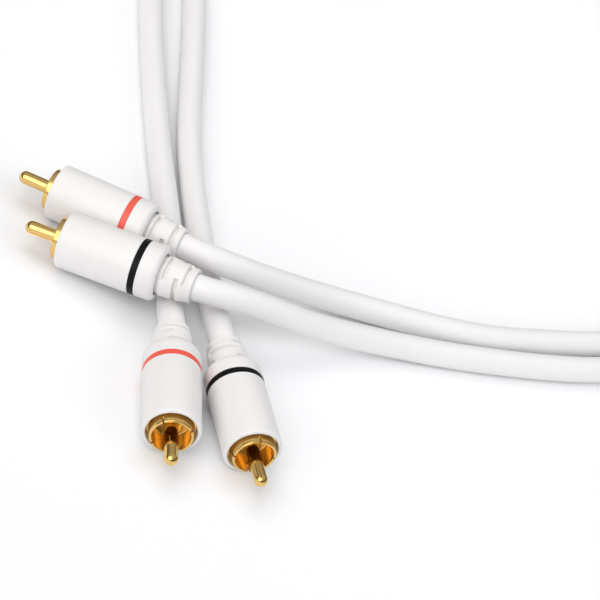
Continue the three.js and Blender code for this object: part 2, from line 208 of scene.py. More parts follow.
class FinishSettings(bpy.types.PropertyGroup):
    """Colours of the finishes."""

    housing: colour("Housing", (0.79, 0.778, 0.77), "Warm white moulded plastic")
    jacket: colour("Cord jacket", (0.81, 0.8, 0.797), "Warm white soft cord jacket")
    gold: colour("Gold", (0.82, 0.565, 0.2), "Gold plating")
    red: colour("Red band", (0.83, 0.1, 0.065), "Coral red plastic")
    black: colour("Black band", (0.004, 0.0038, 0.004), "Black plastic")
    pale: colour("Inner plastic", (0.75, 0.72, 0.64), "Natural plastic inside the plugs")
    copper: colour("Copper", (0.72, 0.32, 0.17), "Bare copper inside the plugs")


class StageSettings(bpy.types.PropertyGroup):
    """Floor, lights and camera."""

    floor: colour("Floor", (0.9, 0.9, 0.915), "Plain pale floor")
    key_power: FloatProperty(name="Key power", description="Power of the window-like key light", default=5.1,
                             min=0, unit="POWER")
    fill_power: FloatProperty(name="Fill power", description="Power of the fill light", default=4.6, min=0,
                              unit="POWER")
    sky: FloatProperty(name="Sky", description="Brightness of the room round the floor", default=1.04, min=0)
    softbox: FloatProperty(name="Softbox", description="Brightness of the large softbox", default=2.45, min=0)
    distance: length("Camera distance", 685.5, "From the camera to the point it aims at")
    lens: FloatProperty(name="Lens", description="Focal length on a 36 mm frame", default=167.4, min=1,
                        unit="CAMERA")
    azimuth: FloatProperty(name="Azimuth", description="Turn of the view from +Y toward +X",
                           default=math.radians(18.9), subtype="ANGLE")
    elevation: FloatProperty(name="Elevation", description="How far the camera looks down",
                             default=math.radians(37.4), subtype="ANGLE")
    roll: FloatProperty(name="Roll", description="Turn of the picture about the line of sight",
                        default=math.radians(26.9), subtype="ANGLE")


class CableSettings(bpy.types.PropertyGroup):
    """All settings of the cable and its stage."""

    plug: PointerProperty(type=PlugSettings)
    cord: PointerProperty(type=CordSettings)
    finish: PointerProperty(type=FinishSettings)
    stage: PointerProperty(type=StageSettings)


def settings():
    return bpy.context.scene.audio_cable


# Places


def plan_shift():
    """Vector from the floor plan's origin to the model's, found from the middle of the coil's node."""
    low, high = (np.array(corner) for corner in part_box("coil"))
    middle = (low + high) / 2
    return np.array([middle[0] - COIL_CENTRE[0] * MM, middle[1] - COIL_CENTRE[1] * MM, 0])


def plug_axes(plug):
    """Origin at the middle of a plug's mouth, and the matrix whose columns are across, along and up."""
    place = PLACES[plug]
    yaw, pitch = math.radians(place["yaw"]), math.radians(place["pitch"])
    along = np.array([math.cos(yaw) * math.cos(pitch), math.sin(yaw) * math.cos(pitch), math.sin(pitch)])
    across = np.cross(along, (0, 0, 1))
    across /= np.linalg.norm(across)
    up = np.cross(across, along)
    height = settings().plug.housing_radius * math.cos(pitch)
    origin = np.array([place["mouth"][0] * MM, place["mouth"][1] * MM, height]) + plan_shift()
    return origin, np.column_stack([across, along, up])


def on_axis(plug, distance):
    """Point on a plug's axis at a distance behind its mouth."""
    origin, axes = plug_axes(plug)
    return origin + axes[:, 1] * distance


# Meshes


def surface(name, points, uv, close_rows=False, close_columns=True):
    """Mesh object from a grid of points, rows by columns by 3, with a UV for each.

    A grid that closes on itself joins its last row or column to its first. Its UV has one more there."""
    rows, columns = points.shape[:2]
    last_row = rows if close_rows else rows - 1
    last_column = columns if close_columns else columns - 1
    row, column = np.meshgrid(np.arange(last_row), np.arange(last_column), indexing="ij")
    next_row, next_column = (row + 1) % rows, (column + 1) % columns
    here, below = row * columns, next_row * columns
    corners = np.stack([here + column, here + next_column, below + next_column, below + column], axis=-1)
    corners = corners.reshape(-1, 4)
    corner_uv = np.stack([uv[row, column], uv[row, column + 1], uv[row + 1, column + 1],
                          uv[row + 1, column]], axis=2).reshape(-1, 2)
    mesh = bpy.data.meshes.new(name)
    mesh.vertices.add(rows * columns)
    mesh.vertices.foreach_set("co", points.reshape(-1).astype(np.float32))
    mesh.loops.add(corners.size)
    mesh.loops.foreach_set("vertex_index", corners.reshape(-1).astype(np.int32))
    mesh.polygons.add(len(corners))
    mesh.polygons.foreach_set("loop_start", np.arange(0, corners.size, 4, dtype=np.int32))
    mesh.update(calc_edges=True)
    mesh.uv_layers.new(name="Surface").data.foreach_set("uv", corner_uv.reshape(-1).astype(np.float32))
    piece = bpy.data.objects.new(name, mesh)
    bpy.context.scene.collection.objects.link(piece)
    return piece


def join(name, pieces):
    """One object from several, each of them a closed shell."""
    first = pieces[0]
    shells = bmesh.new()
    for piece in pieces:
        shells.from_mesh(piece.data)
    shells.to_mesh(first.data)
    shells.free()
    for piece in pieces[1:]:
        bpy.data.meshes.remove(piece.data)
    first.name = name
    first.data.name = name
    return first


def finish_mesh(piece, material, sharp=35):
    """Closes poles and seams, turns faces outwards, and shades smooth up to an angle in degrees."""
    shells = bmesh.new()
    shells.from_mesh(piece.data)
    bmesh.ops.remove_doubles(shells, verts=shells.verts, dist=1e-7)
    bmesh.ops.dissolve_degenerate(shells, edges=shells.edges, dist=1e-8)
    bmesh.ops.recalc_face_normals(shells, faces=shells.faces)
    shells.to_mesh(piece.data)
    shells.free()
    piece.data.polygons.foreach_set("use_smooth", np.ones(len(piece.data.polygons), bool))
    piece.data.set_sharp_from_angle(angle=math.radians(sharp))
    piece.data.materials.append(material)
    piece.data.update()
    return piece


def rounded(corners, steps=5):
    """Closed outline of (radius, place) points from corners (radius, place, rounding).

    Each rounded corner is an arc that meets both of its edges, found from the angle between them."""
    points = []
    count = len(corners)
    for i, (r, y, rounding) in enumerate(corners):
        here = np.array([r, y])
        before = np.array(corners[i - 1][:2]) - here
        after = np.array(corners[(i + 1) % count][:2]) - here
        if rounding <= 0:
            points.append(here[None])
            continue
        before, after = before / np.linalg.norm(before), after / np.linalg.norm(after)
        half = math.acos(np.clip(before @ after, -1, 1)) / 2
        reach = rounding / math.tan(half)
        middle = (before + after) / np.linalg.norm(before + after) * rounding / math.sin(half)
        start, end = before * reach - middle, after * reach - middle
        turn = math.pi - 2 * half
        t = np.linspace(0, 1, steps + 1)[:, None]
        blend = (np.sin((1 - t) * turn) * start + np.sin(t * turn) * end) / math.sin(turn)
        points.append(here + middle + blend)
    return np.vstack(points)


def refined(outline, step, closed=True):
    """The same outline with points added so that none are further apart than the step."""
    ends = np.roll(outline, -1, axis=0) if closed else outline[1:]
    starts = outline if closed else outline[:-1]
    parts = []
    for start, end in zip(starts, ends):
        count = max(1, math.ceil(np.linalg.norm(end - start) / step))
        parts.append(start + (end - start) * np.arange(count)[:, None] / count)
    if not closed:
        parts.append(outline[-1:])
    return np.vstack(parts)


def in_plug(plug, across, along, up):
    """Points given by three arrays in a plug's own axes, as points in the model."""
    origin, axes = plug_axes(plug)
    return origin + np.stack([across, along, up], axis=-1) @ axes.T


def turned(name, plug, outline, sides, closed=True, carve=None, angles=None):
    """Solid of revolution: each outline point (r, y) becomes (r sin a, y, r cos a) for a all round the axis.

    carve gives what is taken off the radius at each r, y and angle. With two angle arrays of shape
    outline by sides, the turn covers only that range and its ends are drawn in to close it."""
    around = np.linspace(0, 2 * math.pi, sides + 1)
    r = np.repeat(outline[:, :1], sides + 1, axis=1)
    y = np.repeat(outline[:, 1:], sides + 1, axis=1)
    a = np.repeat(around[None], len(outline), axis=0) if angles is None else angles
    if carve is not None:
        r = r - carve(r, y, a)
    points = in_plug(plug, r * np.sin(a), y, r * np.cos(a))
    walked = np.concatenate([[0], np.cumsum(np.linalg.norm(np.diff(outline, axis=0), axis=1))])
    if closed:
        walked = np.append(walked, walked[-1] + np.linalg.norm(outline[0] - outline[-1]))
    uv = np.stack(np.broadcast_arrays(around[None, :] / (2 * math.pi), walked[:, None]), axis=-1)
    if angles is None:
        return surface(name, points[:, :-1], uv, close_rows=closed)
    ends = [points[:, i].mean(axis=0) for i in (0, -1)]
    cap_start = np.repeat(ends[0][None, None], len(outline), axis=0)
    cap_end = np.repeat(ends[1][None, None], len(outline), axis=0)
    points = np.concatenate([cap_start, points, cap_end], axis=1)
    uv = np.concatenate([uv[:, :1], uv, uv[:, -1:]], axis=1)
    return surface(name, points, uv, close_rows=closed, close_columns=False)


def smooth_step(x):
    """0 below 0, 1 above 1, and an even S curve between them."""
    x = np.clip(x, 0, 1)
    return x * x * (3 - 2 * x)


# Materials


def new_group(name, inputs, outputs):
    """Empty node group with float or colour sockets, and its input and output nodes."""
    group = bpy.data.node_groups.new(name, "ShaderNodeTree")
    for socket, kind, default in inputs:
        made = group.interface.new_socket(socket, in_out="INPUT", socket_type=kind)
        made.default_value = default
    for socket, kind in outputs:
        group.interface.new_socket(socket, in_out="OUTPUT", socket_type=kind)
    return group, group.nodes.new("NodeGroupInput"), group.nodes.new("NodeGroupOutput")


def noise_node(tree, scale, detail=2.0, roughness=0.5):
    node = tree.nodes.new("ShaderNodeTexNoise")
    node.inputs["Scale"].default_value = scale
    node.inputs["Detail"].default_value = detail
    node.inputs["Roughness"].default_value = roughness
    return node


def math_node(tree, operation, a, b=None, c=None):
    """Math node whose inputs are sockets or plain numbers."""
    node = tree.nodes.new("ShaderNodeMath")
    node.operation = operation
    for socket, value in zip(node.inputs, (a, b, c)):
        if isinstance(value, (int, float)):
            socket.default_value = value
        elif value is not None:
            tree.links.new(value, socket)
    return node.outputs[0]


def mix_colours(tree, amount, first, second):
    node = tree.nodes.new("ShaderNodeMix")
    node.data_type = "RGBA"
    for socket, value in ((node.inputs[0], amount), (node.inputs[6], first), (node.inputs[7], second)):
        if isinstance(value, bpy.types.NodeSocket):
            tree.links.new(value, socket)
        else:
            socket.default_value = value
    return node.outputs[2]


def moulded_skin_group():
    """Fine sparkle-free grain with a slow swell under it, as on moulded plastic. Puts out a height."""
    inputs = [("Grain", "NodeSocketFloat", 1.0), ("Swell", "NodeSocketFloat", 1.0),
              ("Grain Scale", "NodeSocketFloat", 4000.0)]
    group, source, sink = new_group("Moulded skin", inputs, [("Height", "NodeSocketFloat")])
    place = group.nodes.new("ShaderNodeTexCoord").outputs["Object"]
    grain = noise_node(group, 1.0, detail=3)
    swell = noise_node(group, 180, detail=1)
    group.links.new(place, grain.inputs["Vector"])
    group.links.new(source.outputs["Grain Scale"], grain.inputs["Scale"])
    group.links.new(place, swell.inputs["Vector"])
    fine = math_node(group, "MULTIPLY", grain.outputs["Fac"], source.outputs["Grain"])
    slow = math_node(group, "MULTIPLY", swell.outputs["Fac"], source.outputs["Swell"])
    group.links.new(math_node(group, "ADD", fine, slow), sink.inputs["Height"])
    return group


def handling_group():
    """Faint cloudy marks from handling: shifts a colour and a roughness where the clouds are."""
    inputs = [("Base", "NodeSocketColor", (1, 1, 1, 1)), ("Mark", "NodeSocketColor", (0.8, 0.8, 0.8, 1)),
              ("Amount", "NodeSocketFloat", 0.3), ("Roughness", "NodeSocketFloat", 0.4),
              ("Spread", "NodeSocketFloat", 0.1), ("Cloud Scale", "NodeSocketFloat", 90.0)]
    outputs = [("Colour", "NodeSocketColor"), ("Roughness", "NodeSocketFloat")]
    group, source, sink = new_group("Handling marks", inputs, outputs)
    place = group.nodes.new("ShaderNodeTexCoord").outputs["Object"]
    clouds = noise_node(group, 1.0, detail=4, roughness=0.6)
    group.links.new(place, clouds.inputs["Vector"])
    group.links.new(source.outputs["Cloud Scale"], clouds.inputs["Scale"])
    mask = math_node(group, "MULTIPLY", clouds.outputs["Fac"], source.outputs["Amount"])
    group.links.new(mix_colours(group, mask, source.outputs["Base"], source.outputs["Mark"]),
                    sink.inputs["Colour"])
    shift = math_node(group, "MULTIPLY_ADD", clouds.outputs["Fac"], source.outputs["Spread"],
                      source.outputs["Roughness"])
    group.links.new(shift, sink.inputs["Roughness"])
    return group


def lines_group():
    """Fine lines that run one way over a surface, stretched along one axis of its UV. Puts out a height."""
    inputs = [("Across", "NodeSocketFloat", 1.0), ("Along", "NodeSocketFloat", 1.0)]
    group, source, sink = new_group("Drawn lines", inputs, [("Height", "NodeSocketFloat")])
    uv = group.nodes.new("ShaderNodeTexCoord").outputs["UV"]
    split = group.nodes.new("ShaderNodeSeparateXYZ")
    group.links.new(uv, split.inputs[0])
    turn = math_node(group, "MULTIPLY", split.outputs["X"], 2 * math.pi)
    put = group.nodes.new("ShaderNodeCombineXYZ")
    across = source.outputs["Across"]
    along = source.outputs["Along"]
    group.links.new(math_node(group, "MULTIPLY", math_node(group, "COSINE", turn), across), put.inputs["X"])
    group.links.new(math_node(group, "MULTIPLY", math_node(group, "SINE", turn), across), put.inputs["Y"])
    group.links.new(math_node(group, "MULTIPLY", split.outputs["Y"], along), put.inputs["Z"])
    lines = noise_node(group, 1.0, detail=3)
    group.links.new(put.outputs[0], lines.inputs["Vector"])
    group.links.new(lines.outputs["Fac"], sink.inputs["Height"])
    return group


def shared_group(name, make):
    return bpy.data.node_groups.get(name) or make()


def place_group(tree, group, values):
    node = tree.nodes.new("ShaderNodeGroup")
    node.node_tree = group
    for socket, value in values.items():
        node.inputs[socket].default_value = value
    return node


def blank_material(name):
    """Material with only its Principled BSDF."""
    material = bpy.data.materials.new(name)
    material.use_nodes = True
    return material, material.node_tree, material.node_tree.nodes["Principled BSDF"]


def add_bump(tree, shader, height, distance, strength=1.0):
    bump = tree.nodes.new("ShaderNodeBump")
    bump.inputs["Distance"].default_value = distance
    bump.inputs["Strength"].default_value = strength
    tree.links.new(height, bump.inputs["Height"])
    tree.links.new(bump.outputs["Normal"], shader.inputs["Normal"])


def plastic(name, base, mark, roughness, amount=0.5, spread=0.1, grain=1.0, swell=1.0, bump=0.00001,
            specular=0.5, coat=0.0):
    """Plastic with moulded grain, a slow swell and faint handling marks."""
    if name in bpy.data.materials:
        return bpy.data.materials[name]
    material, tree, shader = blank_material(name)
    marks = place_group(tree, shared_group("Handling marks", handling_group), {
        "Base": (*base, 1), "Mark": (*mark, 1), "Amount": amount, "Roughness": roughness - spread / 2,
        "Spread": spread})
    skin_group = shared_group("Moulded skin", moulded_skin_group)
    skin = place_group(tree, skin_group, {"Grain": grain, "Swell": swell})
    tree.links.new(marks.outputs["Colour"], shader.inputs["Base Color"])
    tree.links.new(marks.outputs["Roughness"], shader.inputs["Roughness"])
    shader.inputs["Specular IOR Level"].default_value = specular
    shader.inputs["Coat Weight"].default_value = coat
    shader.inputs["Coat Roughness"].default_value = 0.25
    add_bump(tree, shader, skin.outputs["Height"], bump)
    return material


def shade(base, factor):
    """A colour times a factor for each channel."""
    factors = factor if isinstance(factor, tuple) else (factor,) * 3
    return tuple(channel * f for channel, f in zip(base, factors))


def housing_plastic():
    base = tuple(settings().finish.housing)
    return plastic("White housing plastic", base, shade(base, (0.94, 0.93, 0.92)), 0.42, swell=1.5)


def relief_plastic():
    base = tuple(settings().finish.housing)
    return plastic("White soft relief plastic", base, shade(base, (0.93, 0.92, 0.91)), 0.5, grain=1.5)


def red_plastic():
    base = tuple(settings().finish.red)
    return plastic("Red band plastic", base, shade(base, 0.85), 0.38, grain=1.5)


def black_plastic():
    base = tuple(settings().finish.black)
    return plastic("Black band plastic", base, shade(base, 1.8), 0.38, grain=1.5, specular=0.13)


def inner_plastic():
    base = tuple(settings().finish.pale)
    return plastic("Natural inner plastic", base, shade(base, 0.9), 0.55)


def jacket_plastic():
    """Soft cord jacket: drawn lines along it, grain, and faint marks."""
    name = "White cord jacket"
    if name in bpy.data.materials:
        return bpy.data.materials[name]
    base = tuple(settings().finish.jacket)
    material = plastic(name, base, shade(base, (0.93, 0.92, 0.915)), 0.48, spread=0.12, grain=0.8, swell=3.0)
    tree = material.node_tree
    bump = next(node for node in tree.nodes if node.type == "BUMP")
    height = bump.inputs["Height"].links[0].from_socket
    drawn = place_group(tree, shared_group("Drawn lines", lines_group), {"Across": 9.0, "Along": 14.0})
    together = math_node(tree, "MULTIPLY_ADD", drawn.outputs["Height"], 1.2, height)
    tree.links.new(together, bump.inputs["Height"])
    return material


def metal(name, base, dark, roughness, along, bump):
    """Plated metal: fine turning lines round it, and a faint tarnish that dulls and darkens it."""
    if name in bpy.data.materials:
        return bpy.data.materials[name]
    material, tree, shader = blank_material(name)
    tarnish = place_group(tree, shared_group("Handling marks", handling_group), {
        "Base": (*base, 1), "Mark": (*dark, 1), "Amount": 0.7, "Roughness": roughness, "Spread": 0.12,
        "Cloud Scale": 700.0})
    lines = place_group(tree, shared_group("Drawn lines", lines_group), {"Across": 0.6, "Along": along})
    tree.links.new(tarnish.outputs["Colour"], shader.inputs["Base Color"])
    tree.links.new(tarnish.outputs["Roughness"], shader.inputs["Roughness"])
    shader.inputs["Metallic"].default_value = 1.0
    add_bump(tree, shader, lines.outputs["Height"], bump)
    return material


def gold_plating():
    base = tuple(settings().finish.gold)
    return metal("Gold plating", base, shade(base, (0.92, 0.82, 0.7)), 0.17, 9000.0, 0.0000008)


def polished_gold_plating():
    base = tuple(settings().finish.gold)
    return metal("Polished gold plating", base, shade(base, (0.92, 0.82, 0.7)), 0.08, 9000.0, 0.0000008)


def bare_copper():
    base = tuple(settings().finish.copper)
    return metal("Bare copper", base, shade(base, 0.6), 0.3, 6000.0, 0.000002)


# Pieces


def housing_outline(size):
    """Housing cut through its axis: rounded mouth, band groove, rounded rear shoulder, bore."""
    r = size.housing_radius
    bore = r - size.housing_wall
    front = size.housing_front
    groove = r - size.band_depth
    start, end = size.band_start, size.band_start + size.band_width
    neck_gap = 0.2 * MM
    neck = size.neck_radius + neck_gap
    back = size.housing_length
    return rounded([
        (bore, front, 0.15 * MM), (r, front, size.front_round), (r, start, 0.08 * MM), (groove, start, 0),
        (groove, end, 0), (r, end, 0.08 * MM), (r, back, size.back_round), (neck, back, 0.15 * MM),
        (neck, back - size.back_wall, 0), (bore, back - size.back_wall, 0),
    ], steps=7)


def make_housing(plug):
    size = settings().plug
    piece = turned(f"{plug}_housing_shell", plug, housing_outline(size), 128)
    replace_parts(finish_mesh(piece, housing_plastic()), f"{plug}_housing")
    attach(piece, "root")


def make_band(plug):
    """Colour band: a ring that fills its groove, with softly rounded edges."""
    size = settings().plug
    r = size.housing_radius
    inner = r - size.band_depth
    start, end = size.band_start + size.band_gap, size.band_start + size.band_width - size.band_gap
    edge = 0.1 * MM
    outline = rounded([(inner, start, 0), (r, start, edge), (r, end, edge), (inner, end, 0)])
    colour_name = plug.split("_")[1]
    material = red_plastic() if colour_name == "red" else black_plastic()
    piece = finish_mesh(turned(f"{plug}_colour_band", plug, outline, 128), material)
    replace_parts(piece, f"{plug}_band")
    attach(piece, "root")


def relief_outline(size):
    """Strain relief cut through its axis: inner flange, valley at the housing, tapering sleeve, tip, bore."""
    back = size.housing_length
    end = back + size.relief_length
    cord_gap, flange_gap, tip_taper = 0.12 * MM, 0.2 * MM, 0.08 * MM
    valley_end, neck_start = back + 0.25 * MM, back + 0.85 * MM
    bore = settings().cord.radius + cord_gap
    flange = size.housing_radius - size.housing_wall - flange_gap
    inside = back - size.relief_inset
    shoulder = inside + size.relief_flange
    valley = size.neck_radius - size.valley_depth
    outer = rounded([
        (bore, inside, 0), (flange, inside, 0), (flange, shoulder, 0), (valley, shoulder, 0),
        (valley, valley_end, 0.3 * MM), (size.neck_radius, neck_start, 0.3 * MM),
        (size.waist_radius, back + size.waist_place, 1 * MM),
        (size.tip_radius, back + size.tip_place, 0.6 * MM),
        (size.tip_radius - tip_taper, end, 0.4 * MM), (bore, end, 0.1 * MM),
    ])
    return refined(outer, RELIEF_STEP)


def relief_carving(plug):
    """What the slots take off the relief's radius: full depth in each slot's width and arc, none outside."""
    size = settings().plug
    first = PLACES[plug]["relief"]
    back = size.housing_length
    edge = 0.22 * MM
    edge_arc = 0.07
    lowest = settings().cord.radius + 0.3 * MM

    def carve(r, y, a):
        taken = np.zeros_like(r)
        for place, turn in RELIEF_SLOTS:
            middle = back + place * MM + size.relief_slot / 2
            across = smooth_step((size.relief_slot / 2 + edge - np.abs(y - middle)) / (2 * edge))
            for side in (0, math.pi):
                off = np.abs((a - first - turn - side + math.pi) % (2 * math.pi) - math.pi)
                around = smooth_step((RELIEF_SLOT_HALF_ARC - off) / edge_arc)
                taken = np.maximum(taken, size.relief_slot_depth * across * around)
        return np.clip(np.minimum(taken, r - lowest), 0, None)

    return carve


def make_relief(plug):
    size = settings().plug
    piece = turned(f"{plug}_strain_relief", plug, relief_outline(size), 144, carve=relief_carving(plug))
    finish_mesh(piece, relief_plastic(), sharp=50)
    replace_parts(piece, f"{plug}_relief")
    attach(piece, "root")


def petal_root(size):
    """Where the slots between the petals end, just behind the housing's front."""
    return size.housing_front + 0.2 * MM


def petal_outline(size):
    """One petal cut through its axis: rounded lip, outside that widens slightly toward the flange, bore."""
    reach = size.rim_reach
    bore = size.rim_radius - size.petal_wall
    root = petal_root(size)
    return rounded([
        (bore, -reach, 0.2 * MM), (size.rim_radius, -reach, 0.3 * MM),
        (size.rim_radius + size.shell_step, root, 0), (bore, root, 0),
    ], steps=8)


def cup_outline(size):
    """Collar behind its petals, cut through its axis: flange inside the mouth, and a cup with a floor."""
    wall = size.cup_wall
    bore = size.rim_radius - size.petal_wall
    front, end = petal_root(size), size.cup_end
    face = size.housing_front + size.flange_recess
    flange_gap = 0.08 * MM
    flange = size.housing_radius - size.housing_wall - flange_gap
    shell = size.rim_radius + size.shell_step
    back_hole, floor_hole = size.pin_radius + size.cup_hole_gap, size.pin_radius + size.cup_floor_gap
    floor = size.cup_floor
    return rounded([
        (bore, front, 0), (shell, front, 0), (shell, face, 0.15 * MM), (flange, face, 0.1 * MM),
        (flange, face + size.flange_length, 0), (shell, face + size.flange_length, 0), (shell, end, 0),
        (back_hole, end, 0),
        (back_hole, end - wall, 0), (bore, end - wall, 0), (bore, floor + wall, 0),
        (floor_hole, floor + wall, 0), (floor_hole, floor, 0.08 * MM), (bore, floor, 0.4 * MM),
    ])


def make_collar(plug):
    """Four petals and the cup behind them.

    A petal is its outline turned over a quarter less the slot: at radius r each end gives up
    asin(half the slot / r), so the slot has flat and parallel walls."""
    size = settings().plug
    outline = petal_outline(size)
    step = 24
    give = np.arcsin(size.slot_width / 2 / outline[:, :1])
    share = np.linspace(0, 1, step + 1)[None]
    shells = []
    for quarter in range(4):
        start = PLACES[plug]["slots"] + quarter * math.pi / 2
        angles = start + give + (math.pi / 2 - 2 * give) * share
        shells.append(turned(f"{plug}_petal_{quarter}", plug, outline, step, angles=angles))
    shells.append(turned(f"{plug}_cup", plug, cup_outline(size), 96))
    piece = finish_mesh(join(f"{plug}_gold_collar", shells), gold_plating())
    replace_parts(piece, f"{plug}_collar")
    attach(piece, "root")


def make_pin(plug):
    """Centre pin: a domed rod, less a groove along one side for its rolled seam."""
    size = settings().plug
    r, tip = size.pin_radius, -size.pin_reach
    end = size.cup_end + size.pin_tail
    dome = np.linspace(0, math.pi / 2, 17)
    nose = np.column_stack([r * np.sin(dome), tip + r * (1 - np.cos(dome))])
    side_start, ring_step = tip + 1.15 * r, 0.4 * MM
    side = refined(np.array([[r, side_start], [r, end], [0, end]]), ring_step, False)
    outline = np.vstack([nose, side])
    seam, half = PLACES[plug]["seam"], size.seam_width / 2
    seam_start, seam_fade, seam_steepness = tip + 0.6 * MM, 0.7 * MM, 1.6

    def carve(radius, y, a):
        off = np.abs((a - seam + math.pi) % (2 * math.pi) - math.pi) * radius
        inside = smooth_step((half - off) / half * seam_steepness) * smooth_step((y - seam_start) / seam_fade)
        on_side = radius > 0.6 * r
        return size.seam_depth * inside * on_side

    piece = turned(f"{plug}_gold_pin", plug, outline, 224, closed=False, carve=carve)
    finish_mesh(piece, polished_gold_plating(), sharp=60)
    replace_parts(piece, f"{plug}_pin")
    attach(piece, "root")


def finish_inner(plug):
    """Finishes for the CAD pieces that stay: those inside the plug and the cord's end in it."""
    finishes = {"insulator": inner_plastic, "dielectric": inner_plastic, "core": inner_plastic,
                "conductor": bare_copper, "ferrule": bare_copper, "jacket_end": jacket_plastic}
    for kind, material in finishes.items():
        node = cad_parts[f"{plug}_{kind}"]
        node.data.materials.clear()
        node.data.materials.append(material())


# Cords


def smooth_line(points, step):
    """Centripetal Catmull-Rom curve through the points, sampled about every step.

    Between two points the curve blends three straight lines through them and their neighbours, each
    timed by the square root of the distance between points."""
    before = 2 * points[0] - points[1]
    after = 2 * points[-1] - points[-2]
    knots = np.vstack([before, points, after])
    times = np.concatenate([[0], np.cumsum(np.linalg.norm(np.diff(knots, axis=0), axis=1) ** 0.5)])
    parts = []
    for i in range(1, len(knots) - 2):
        t0, t1, t2, t3 = times[i - 1:i + 3]
        p0, p1, p2, p3 = knots[i - 1:i + 3]
        count = max(2, math.ceil(np.linalg.norm(p2 - p1) / step))
        t = t1 + (t2 - t1) * np.arange(count)[:, None] / count
        a1 = (t1 - t) / (t1 - t0) * p0 + (t - t0) / (t1 - t0) * p1
        a2 = (t2 - t) / (t2 - t1) * p1 + (t - t1) / (t2 - t1) * p2
        a3 = (t3 - t) / (t3 - t2) * p2 + (t - t2) / (t3 - t2) * p3
        b1 = (t2 - t) / (t2 - t0) * a1 + (t - t0) / (t2 - t0) * a2
        b2 = (t3 - t) / (t3 - t1) * a2 + (t - t1) / (t3 - t1) * a3
        parts.append((t2 - t) / (t2 - t1) * b1 + (t - t1) / (t2 - t1) * b2)
    return np.vstack([*parts, points[-1:]])


def even_steps(line, step):
    """The same line with its points the same distance apart."""
    walked = np.concatenate([[0], np.cumsum(np.linalg.norm(np.diff(line, axis=0), axis=1))])
    places = np.linspace(0, walked[-1], round(walked[-1] / step) + 1)
    return np.column_stack([np.interp(places, walked, line[:, axis]) for axis in range(3)])


def evened(line, reach, step):
    """Each point moved to the weighted middle of its neighbours within reach, less near the two ends."""
    half = round(reach / step)
    weights = np.hanning(2 * half + 3)[1:-1]
    weights /= weights.sum()
    padded = np.vstack([np.repeat(line[:1], half, axis=0), line, np.repeat(line[-1:], half, axis=0)])
    moved = np.column_stack([np.convolve(padded[:, axis], weights, mode="valid") for axis in range(3)])
    place = np.arange(len(line))
    share = smooth_step(np.minimum(place, len(line) - 1 - place) / (3 * half))[:, None]
    return line + (moved - line) * share


def lead_line(colour_name):
    """Middle of one lead: out of its front plug, along the floor, round the coil, back into its left plug."""
    size = settings().plug
    plug_end = size.housing_length + size.relief_length
    front, left = f"front_{colour_name}", f"left_{colour_name}"
    shift = plan_shift()
    front_route = np.array(ROUTES[front]) * MM + shift
    left_route = np.array(ROUTES[left])[::-1] * MM + shift
    turn = np.linspace(0, COIL_TURNS, round(COIL_TURNS * COIL_POINTS_A_TURN) + 1)
    angle = COIL_START - 2 * math.pi * turn
    radius = COIL_RADII[colour_name]
    coil = np.column_stack([
        COIL_CENTRE[0] + radius * np.cos(angle), COIL_CENTRE[1] + radius * np.sin(angle),
        F + COIL_RISE * turn,
    ]) * MM + shift
    entry = np.array(COIL_ENTRY[colour_name]) * MM + shift
    starts = [on_axis(front, plug_end + gap * MM) for gap in CORD_STARTS]
    ends = [on_axis(left, plug_end + gap * MM) for gap in reversed(CORD_STARTS)]
    return np.vstack([starts, front_route, coil, entry, left_route, ends])


def cord_tube(name, line, radius, sides):
    """Round tube: at each point of the line, a circle square to it, with a cap drawn in at each end."""
    ahead = np.gradient(line, axis=0)
    ahead /= np.linalg.norm(ahead, axis=1, keepdims=True)
    across = np.cross(ahead, (0, 0, 1))
    across /= np.linalg.norm(across, axis=1, keepdims=True)
    up = np.cross(across, ahead)
    around = np.linspace(0, 2 * math.pi, sides, endpoint=False)[None, :, None]
    rings = line[:, None] + radius * (np.cos(around) * up[:, None] + np.sin(around) * across[:, None])
    caps = [np.repeat(line[i][None, None], sides, axis=1) for i in (0, -1)]
    points = np.concatenate([caps[0], rings, caps[1]])
    walked = np.concatenate([[0], np.cumsum(np.linalg.norm(np.diff(line, axis=0), axis=1))])
    walked = np.concatenate([walked[:1], walked, walked[-1:]])
    share = np.linspace(0, 1, sides + 1)
    uv = np.stack(np.broadcast_arrays(share[None, :], walked[:, None]), axis=-1)
    return surface(name, points, uv)


def make_lead(colour_name):
    """One lead's cord, which stands for its CAD tubes and its share of the coil."""
    size = settings().cord
    front = f"front_{colour_name}"
    plug = settings().plug
    line = smooth_line(lead_line(colour_name), size.step / 2)
    line = even_steps(evened(even_steps(line, size.step / 3), size.smoothing, size.step / 3), size.step)
    line[:, 2] = np.maximum(line[:, 2], size.radius)
    piece = finish_mesh(cord_tube(f"{colour_name}_lead_cord", line, size.radius, 36), jacket_plastic())
    nodes = [f"front_{colour_name}_cord", f"left_{colour_name}_cord"]
    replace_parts(piece, *nodes, *(["coil"] if colour_name == "red" else []))
    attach(piece, "root")
    on_axis(front, plug.housing_length + plug.relief_length)


# Stage


def make_floor():
    """Large flat floor with a faint unevenness of tone."""
    bpy.ops.mesh.primitive_plane_add(size=FLOOR_SIZE, location=(0, 0, 0))
    floor = bpy.context.object
    floor.name = "floor"
    base = tuple(settings().stage.floor)
    floor.data.materials.append(plastic("Pale floor", base, shade(base, 0.985), 0.6, grain=0.3, specular=0.2))


def aim_at(thing, place, target):
    """Puts a thing at a place with its -Z toward the target."""
    ahead = Vector(target) - Vector(place)
    thing.location = place
    thing.rotation_euler = ahead.to_track_quat("-Z", "Y").to_euler()


